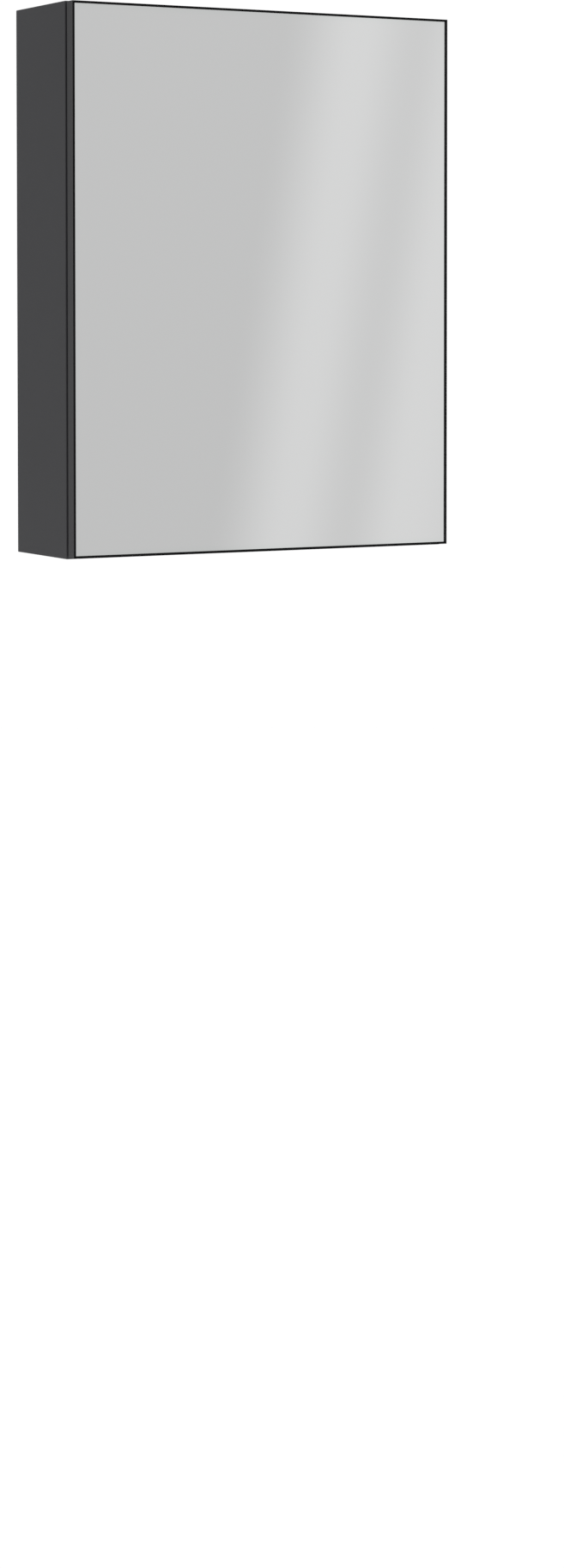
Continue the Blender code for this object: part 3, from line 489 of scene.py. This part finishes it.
def float_glass():
    """Clear on its faces, and green where light runs along the sheet to its edges."""
    made = Finish("float_glass", IOR=1.52, Transmission_Weight=1.0)
    low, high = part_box("glass_shelf_lower")
    rim = abs(made.x) * (1 / high[0])
    depth = made.rise(made.y, low[1] + 0.0012, low[1] + 0.0003)
    edge = made.rise(rim, 0.995, 0.999).or_more(depth)
    ground = made.noise(1800, 2.0, (0.2, 1, 1))
    made.feed(Base_Color=made.mix(edge, (0.965, 0.985, 0.975), (0.62, 0.86, 0.77)))
    made.feed(Roughness=0.004 + edge * 0.16 + ground * edge * 0.08)
    made.feed(Normal=made.bump(ground * edge, 0.00003, 0.4))
    return made.material


glass = float_glass()
for level in ("lower", "upper"):
    wear(f"glass_shelf_{level}", glass)

PIN_RADIUS = 0.0025
PIN_DEPTH = 0.008
COLLAR_RADIUS = 0.0045
COLLAR_HEIGHT = 0.0011
REST_RADIUS = 0.004
REST_LENGTH = 0.009
REST_FLAT = 0.002
FLAT_CUTTER = 0.02
SHADOW_GAP = 0.0003


def shelf_pin():
    """Z = 0 is the panel's face and the part that carries the glass points up, with its flat at +X."""
    tip = COLLAR_HEIGHT + REST_LENGTH
    profile = [(0, -PIN_DEPTH), (PIN_RADIUS - 0.0006, -PIN_DEPTH), (PIN_RADIUS, 0.0006 - PIN_DEPTH)]
    for groove in (-0.006, -0.0045, -0.003):
        profile += [(PIN_RADIUS, groove), (PIN_RADIUS - 0.0002, groove + 0.0003)]
        profile += [(PIN_RADIUS - 0.0002, groove + 0.0006), (PIN_RADIUS, groove + 0.0009)]
    profile += [(PIN_RADIUS, SHADOW_GAP), (COLLAR_RADIUS - 0.0002, SHADOW_GAP), (COLLAR_RADIUS, 0.0005)]
    profile += [(COLLAR_RADIUS, COLLAR_HEIGHT - 0.0002), (COLLAR_RADIUS - 0.0002, COLLAR_HEIGHT)]
    profile += [(REST_RADIUS, COLLAR_HEIGHT), (REST_RADIUS, tip - 0.0012)]
    profile += [(REST_RADIUS - 0.0004, tip - 0.0003), (REST_RADIUS - 0.0012, tip), (0, tip)]
    made = pattern("pin", lathe(profile, 32))
    flat = bmesh.new()
    bmesh.ops.create_cube(flat, size=FLAT_CUTTER)
    shift = (REST_FLAT + FLAT_CUTTER / 2, 0, SHADOW_GAP + FLAT_CUTTER / 2)
    bmesh.ops.translate(flat, verts=flat.verts, vec=shift)
    return carve(made, flat)


def turned_steel():
    """Turned and nickel-plated, with fine rings from the lathe along the pin's length."""
    made = Finish("turned_nickel_plate", Metallic=1.0)
    rings = made.noise(5200, 2.0, (1, 0.05, 0.05))
    made.feed(Base_Color=made.mix(made.noise(90, 2.0), (0.56, 0.555, 0.54), (0.70, 0.69, 0.67)))
    made.feed(Roughness=0.18 + rings * 0.14, Normal=made.bump(rings, 0.00002, 0.5))
    return made.material


pin_names = [
    f"shelf_pin_{level}_{side}_{row}"
    for level in ("lower", "upper")
    for side in ("left", "right")
    for row in ("front", "rear")
]
inner_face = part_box("side_panel_right")[0].x
pin_places = []
for pin in pin_names:
    low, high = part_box(pin)
    spot = middle(pin)
    sign = math.copysign(1, spot.x)
    spot.x = sign * inner_face
    spot.z = low.z + COLLAR_RADIUS
    pin_places.append((spot, (-sign, 0, 0), 0.0))
set_out("shelf_pins", shelf_pin(), pin_places, turned_steel(), "cabinet", pin_names)


# The hinges. Pressed and nickel-plated steel. The plate is screwed to the side panel, the arm clamps
# over it, and two links carry the cup, which is pressed into the door board and screwed through its ears.

HINGES = ("lower", "upper")
PLATE_SCREW = (0.0035, 0.0018, 0.012)
CUP_SCREW = (0.003, 0.0015, 0.009)
ADJUSTER = (0.0024, 0.0012, 0.0015)
ADJUSTER_SPOT = (0.2452, -0.1315)
ADJUSTER_TURN = 0.8
ARM_PIVOTS = ((0.247, -0.147), (0.2375, -0.139))
RIVET = 0.0016
RIVET_RISE = 0.0006
plate_steel = plated_steel("plate_steel", (0.60, 0.59, 0.57), (1, 1, 5), 0.36)
arm_steel = plated_steel("arm_steel", (0.64, 0.63, 0.61), (1, 6, 1), 0.24)
link_steel = plated_steel("link_steel", (0.55, 0.54, 0.52), (4, 1, 1), 0.32)
cup_steel = plated_steel("drawn_cup_steel", (0.66, 0.65, 0.63), (1, 1, 1), 0.30)
for level in HINGES:
    wear(f"hinge_plate_{level}", plate_steel)
    wear(f"hinge_arm_{level}", arm_steel)
    wear(f"hinge_cup_{level}", cup_steel)
    wear(f"hinge_link_outer_{level}", link_steel)
    wear(f"hinge_link_inner_{level}", link_steel)
plate_screws = [f"plate_screw_{level}_{end}" for level in HINGES for end in ("low", "high")]
cup_screws = [f"cup_screw_{level}_{end}" for level in HINGES for end in ("low", "high")]
screws("hinge_plate_screws", plate_screws, (-1, 0, 0), PLATE_SCREW, "cabinet")
screws("hinge_cup_screws", cup_screws, (0, 1, 0), CUP_SCREW, "door")

rivet_profile = [(0, RIVET_RISE), (0.55 * RIVET, 0.9 * RIVET_RISE), (0.9 * RIVET, 0.45 * RIVET_RISE)]
rivet_profile += [(RIVET, 0), (RIVET, -0.0003), (0, -0.0003)]
rivet_places = []
for level in HINGES:
    low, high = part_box(f"hinge_arm_{level}")
    for x, y in ARM_PIVOTS:
        rivet_places.append((Vector((x, y, high.z)), (0, 0, 1), 0.0))
        rivet_places.append((Vector((x, y, low.z)), (0, 0, -1), 0.0))
rivets = pattern("rivet", lathe(rivet_profile, 20))
set_out("pivot_rivets", rivets, rivet_places, bright_steel, "cabinet")

adjuster_places = []
for level in HINGES:
    spot = Vector((*ADJUSTER_SPOT, middle(f"hinge_arm_{level}").z))
    adjuster_places.append((spot, (-1, 0, 0), ADJUSTER_TURN))
adjuster = cross_head_screw(*ADJUSTER)
set_out("arm_adjusters", adjuster, adjuster_places, bright_steel, "cabinet")


def hinge_cover(level):
    """A snap-on cover, crowned across and rolled at its ends, with two moulded ribs for the thumb."""
    low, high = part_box(f"hinge_cover_{level}")
    rows, across = 28, 12
    bm = bmesh.new()
    grid = []
    for i in range(rows + 1):
        along = i / rows
        y = low.y + along * (high.y - low.y)
        rib = max(math.exp(-(((along - spot) / 0.02) ** 2)) for spot in (0.80, 0.88))
        roll = 1 - max(0, 1 - along / 0.06, 1 - (1 - along) / 0.06) ** 2
        row = []
        for j in range(across + 1):
            side = 2 * j / across - 1
            crown = (1 - 0.45 * abs(side) ** 6) * roll
            rise = (high.x - low.x) * (0.30 + 0.62 * crown) + 0.00008 * rib
            row.append(bm.verts.new((high.x - rise, y, (low.z + high.z) / 2 + side * (high.z - low.z) / 2)))
        grid.append(row)
    base = [[bm.verts.new((high.x, v.co.y, v.co.z)) for v in row] for row in grid]
    for i in range(rows):
        for j in range(across):
            bm.faces.new([grid[i][j], grid[i + 1][j], grid[i + 1][j + 1], grid[i][j + 1]])
            bm.faces.new([base[i][j], base[i][j + 1], base[i + 1][j + 1], base[i + 1][j]])
        for j in (0, across):
            bm.faces.new([grid[i][j], base[i][j], base[i + 1][j], grid[i + 1][j]])
    for i in (0, rows):
        for j in range(across):
            bm.faces.new([grid[i][j], grid[i][j + 1], base[i][j + 1], base[i][j]])
    bmesh.ops.recalc_face_normals(bm, faces=bm.faces)
    made = pattern(f"snap_cover_{level}", bm, 50)
    keep(made, grey_plastic, "cabinet", [f"hinge_cover_{level}"])


for level in HINGES:
    hinge_cover(level)


# The push latch. A moulded housing screwed inside the side panel guides a sprung plunger with a
# magnet in its tip, which holds a steel strike plate stuck to the door.

LATCH_SCREW = (0.003, 0.0015, 0.011)
PALE_PLASTIC = (0.30, 0.30, 0.31)
screws("latch_screws", ("latch_screw_low", "latch_screw_high"), (1, 0, 0), LATCH_SCREW, "cabinet")
wear("latch_housing", grey_plastic)

plunger_low, plunger_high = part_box("latch_plunger")
PLUNGER_RADIUS = (plunger_high.x - plunger_low.x) / 2
PLUNGER_LENGTH = plunger_high.y - plunger_low.y
tip = middle("latch_plunger")
tip.y = plunger_low.y


def aimed(bm, spot, direction):
    """Turns a mesh built about +Z to a direction and puts it in its place."""
    turn = Vector(direction).to_track_quat("Z", "Y").to_matrix().to_4x4()
    bmesh.ops.transform(bm, matrix=Matrix.Translation(spot) @ turn, verts=bm.verts)
    return bm


def plunger():
    """A plain sleeve with two wear rings behind its chamfered tip."""
    r = PLUNGER_RADIUS
    profile = [(0, 0.0004), (r - 0.0012, 0.0004), (r - 0.001, 0), (r - 0.0005, 0), (r, 0.0006)]
    for ring in (0.004, 0.0065):
        profile += [(r, ring), (r - 0.00025, ring + 0.0002), (r - 0.00025, ring + 0.0007), (r, ring + 0.0009)]
    profile += [(r, PLUNGER_LENGTH - 0.0005), (r - 0.0005, PLUNGER_LENGTH), (0, PLUNGER_LENGTH)]
    return pattern("push_plunger", aimed(lathe(profile, 40), tip, (0, 1, 0)))


pale_plastic = moulded("pale_moulded_plastic", PALE_PLASTIC, 0.36)
keep(plunger(), pale_plastic, "latch_plunger", ["latch_plunger"])
magnet = [(0, 0.00005), (0.0018, 0.00005), (0.0021, 0.0003), (0.0021, 0.0006), (0, 0.0006)]
magnet_piece = pattern("plunger_magnet", aimed(lathe(magnet, 32), tip, (0, 1, 0)))
keep(magnet_piece, bright_steel, "latch_plunger")


def guide_collar():
    """The raised ring round the plunger's mouth in the front of the housing."""
    inner, outer = PLUNGER_RADIUS + 0.0004, PLUNGER_RADIUS + 0.0017
    section = [(inner, 0), (inner, 0.0007), (inner + 0.0003, 0.001)]
    section += [(outer - 0.0003, 0.001), (outer, 0.0007), (outer, 0)]
    spot = Vector((tip.x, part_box("latch_housing")[0].y, tip.z))
    return pattern("latch_guide_collar", aimed(lathe(section, 40, ring=True), spot, (0, -1, 0)))


keep(guide_collar(), grey_plastic, "cabinet")


def strike_disc():
    low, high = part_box("strike_plate")
    radius, thickness = (high.x - low.x) / 2, high.y - low.y
    profile = [(0, 0), (radius - 0.0002, 0), (radius, 0.0002), (radius, thickness - 0.0003)]
    profile += [(radius - 0.0003, thickness), (radius - 0.0012, thickness)]
    profile += [(radius - 0.0015, thickness - 0.0001)]
    profile += [(0.002, thickness - 0.0001), (0.0014, thickness - 0.0004), (0, thickness - 0.0004)]
    spot = middle("strike_plate")
    spot.y = low.y
    return pattern("strike_disc", aimed(lathe(profile, 48), spot, (0, 1, 0)))


def faced_steel(spot):
    """A disc that has been faced on a lathe, with rings about its middle."""
    made = Finish("faced_nickel_plate", Metallic=1.0)
    ends = {0: made.place, 1: tuple(spot)}
    radius = made.add("ShaderNodeVectorMath", {"operation": "DISTANCE"}, ends, "Value")
    inputs = {"W": radius, "Scale": 6000, "Detail": 2}
    rings = made.add("ShaderNodeTexNoise", {"noise_dimensions": "1D"}, inputs)
    made.feed(Base_Color=made.mix(made.noise(80), (0.55, 0.545, 0.53), (0.70, 0.69, 0.67)))
    made.feed(Roughness=0.2 + rings * 0.16, Normal=made.bump(rings, 0.00002, 0.5))
    return made.material


keep(strike_disc(), faced_steel(middle("strike_plate")), "door", ["strike_plate"])


# The door. Four mitred aluminium profiles, dark grey with a black front lip, hold a 4 mm silvered mirror
# against a melamine-faced board. Two soft bumpers keep the board off the edge of the side panel.


COAT = ((0.0175, 0.0175, 0.019), (0.0245, 0.0245, 0.0265))
BLACK = ((0.008, 0.008, 0.008), (0.013, 0.013, 0.014))
LIP_DEPTH = 0.0002
MIRROR_BORDER = 0.012


def coated_profile(name, along):
    """Brushed along its length. The front lip is black anodised and the rest is coated dark grey."""
    made = Finish(name, Specular_IOR_Level=0.3)
    lip_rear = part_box("door_frame_left")[0].y + LIP_DEPTH
    lip = made.rise(made.y, lip_rear + 0.0001, lip_rear)
    stretch = tuple(0.03 if i == along else 1 for i in range(3))
    lines = made.noise(2600, 3.0, stretch)
    pearl = made.noise(1100, 3.0)
    made.feed(Base_Color=made.mix(lip, made.mix(pearl, *COAT), made.mix(lines, *BLACK)), Metallic=lip)
    made.feed(Roughness=0.40 + pearl * 0.12 - lip * 0.12 + lines * lip * 0.08)
    made.feed(Normal=made.bump(lines * lip, 0.00002, 0.4, made.bump(pearl, 0.00005, 0.4)))
    return made.material


uprights = coated_profile("coated_upright", 2)
rails = coated_profile("coated_rail", 0)
for name, finish in (("left", uprights), ("right", uprights), ("top", rails), ("bottom", rails)):
    wear(f"door_frame_{name}", finish)


def silvered_glass():
    """A mirror is even to the eye. Only a trace of haze and a cooler tint near its cut edges vary."""
    low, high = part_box("mirror_glass")
    made = Finish("silvered_glass", Metallic=1.0)
    near = []
    for place, start, end in ((made.x, low.x, high.x), (made.z, low.z, high.z)):
        first = made.rise(place, start + MIRROR_BORDER, start)
        near.append(first + made.rise(place, end - MIRROR_BORDER, end))
    edge = made.rise(near[0] + near[1], 0.0, 1.0)
    haze = made.noise(5, 3.0)
    made.feed(Base_Color=made.mix(edge, (0.872, 0.876, 0.875), (0.850, 0.866, 0.860)))
    made.feed(Roughness=0.006 + haze * 0.008)
    return made.material


wear("mirror_glass", silvered_glass())
wear("door_board", melamine("door_board"))


def soft_clear():
    """Clear polyurethane, slightly milky, with a dull moulded skin."""
    made = Finish("clear_polyurethane", IOR=1.45, Transmission_Weight=0.55)
    skin = made.noise(1500, 2.0)
    made.feed(Base_Color=made.mix(skin, (0.78, 0.79, 0.78), (0.86, 0.87, 0.86)), Roughness=0.32 + skin * 0.1)
    made.feed(Normal=made.bump(skin, 0.00003, 0.4))
    return made.material


bumper_names = ["door_bumper_lower", "door_bumper_upper"]
bumper_low, bumper_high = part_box(bumper_names[0])
radius, rise = (bumper_high.x - bumper_low.x) / 2, bumper_high.y - bumper_low.y
dome = [(0, rise), (0.35 * radius, 0.99 * rise), (0.62 * radius, 0.9 * rise), (0.82 * radius, 0.68 * rise)]
dome += [(0.94 * radius, 0.35 * rise), (radius, 0.06 * rise), (0.99 * radius, 0), (0, 0)]
bumper_places = []
for bumper in bumper_names:
    spot = middle(bumper)
    spot.y = bumper_low.y
    bumper_places.append((spot, (0, 1, 0), 0.0))
bumper_piece = pattern("bumper", lathe(dome, 32))
set_out("soft_bumpers", bumper_piece, bumper_places, soft_clear(), "door", bumper_names)


# The studio. A pale floor far below the cabinet, a bright ceiling, and an even grey surround with
# three soft strips to the right of the camera, which the mirror picks up.

FLOOR_LEVEL = -1.86
FLOOR_RADIUS = 7.5
FLOOR_STEPS = 96
FLOOR_PAINT = ((0.80, 0.80, 0.80), (0.83, 0.83, 0.83))
SURROUND = 0.613
SURROUND_CLIMB = 0.13
CEILING = 0.95
BACKDROP = 1.02
STRIP_LEAN = 0.145
EYE = Vector((-1.982, -3.836, -0.347))
HEADING = math.radians(29.202)
DIP = math.radians(2.169)
LENS = 74.068
SHIFT = (-0.01878, -0.2209)
STRIPS = math.radians(28.09)


def studio_floor():
    bm = bmesh.new()
    turns = [2 * math.pi * i / FLOOR_STEPS for i in range(FLOOR_STEPS)]
    rim = [(FLOOR_RADIUS * math.cos(t), FLOOR_RADIUS * math.sin(t), FLOOR_LEVEL) for t in turns]
    bm.faces.new([bm.verts.new(point) for point in rim])
    made = pattern("studio_floor", bm)
    paint = Finish("floor_paint", Specular_IOR_Level=0.1)
    paint.feed(Base_Color=paint.mix(paint.noise(2.0), *FLOOR_PAINT))
    paint.feed(Roughness=0.8 + paint.noise(30) * 0.1)
    made.data.materials.append(paint.material)


def studio_light():
    """Light by direction: a grey surround, soft leaning strips at the right and a bright ceiling."""
    world = bpy.data.worlds.new("studio")
    bpy.context.scene.world = world
    world.use_nodes = True
    light = Nodes(world.node_tree)
    background = world.node_tree.nodes["Background"]
    heading = light.add("ShaderNodeTexCoord", out="Generated")
    x, y, z = light.add("ShaderNodeSeparateXYZ", None, {0: heading}, (0, 1, 2))
    lean = x.math("ARCTAN2", x, 0 - y) - STRIPS - z * STRIP_LEAN
    first = light.rise(lean, -0.003, 0.021) * 0.142
    dip = light.rise(lean, 0.023, 0.040) * 0.075
    second = light.rise(lean, 0.040, 0.056) * 0.085
    end = light.rise(lean, 0.058, 0.095) * 0.13
    surround = SURROUND + z * SURROUND_CLIMB + first - dip + second - end
    ceiling = light.rise(z, 0.25, 0.95) * CEILING
    seen = light.add("ShaderNodeLightPath", out="Is Camera Ray")
    strength = (surround + ceiling) * (1 - seen) + seen * BACKDROP
    world.node_tree.links.new(strength.socket, background.inputs["Strength"])
    background.inputs["Color"].default_value = (1, 1, 1, 1)


def studio_camera():
    data = bpy.data.cameras.new("camera")
    data.sensor_width = 36
    data.lens = LENS
    data.shift_x, data.shift_y = SHIFT
    made = bpy.data.objects.new("camera", data)
    bpy.context.scene.collection.objects.link(made)
    made.location = EYE
    made.rotation_euler = (math.pi / 2 - DIP, 0, -HEADING)
    bpy.context.scene.camera = made


studio_floor()
studio_light()
studio_camera()
bpy.context.scene.view_settings.view_transform = "Standard"
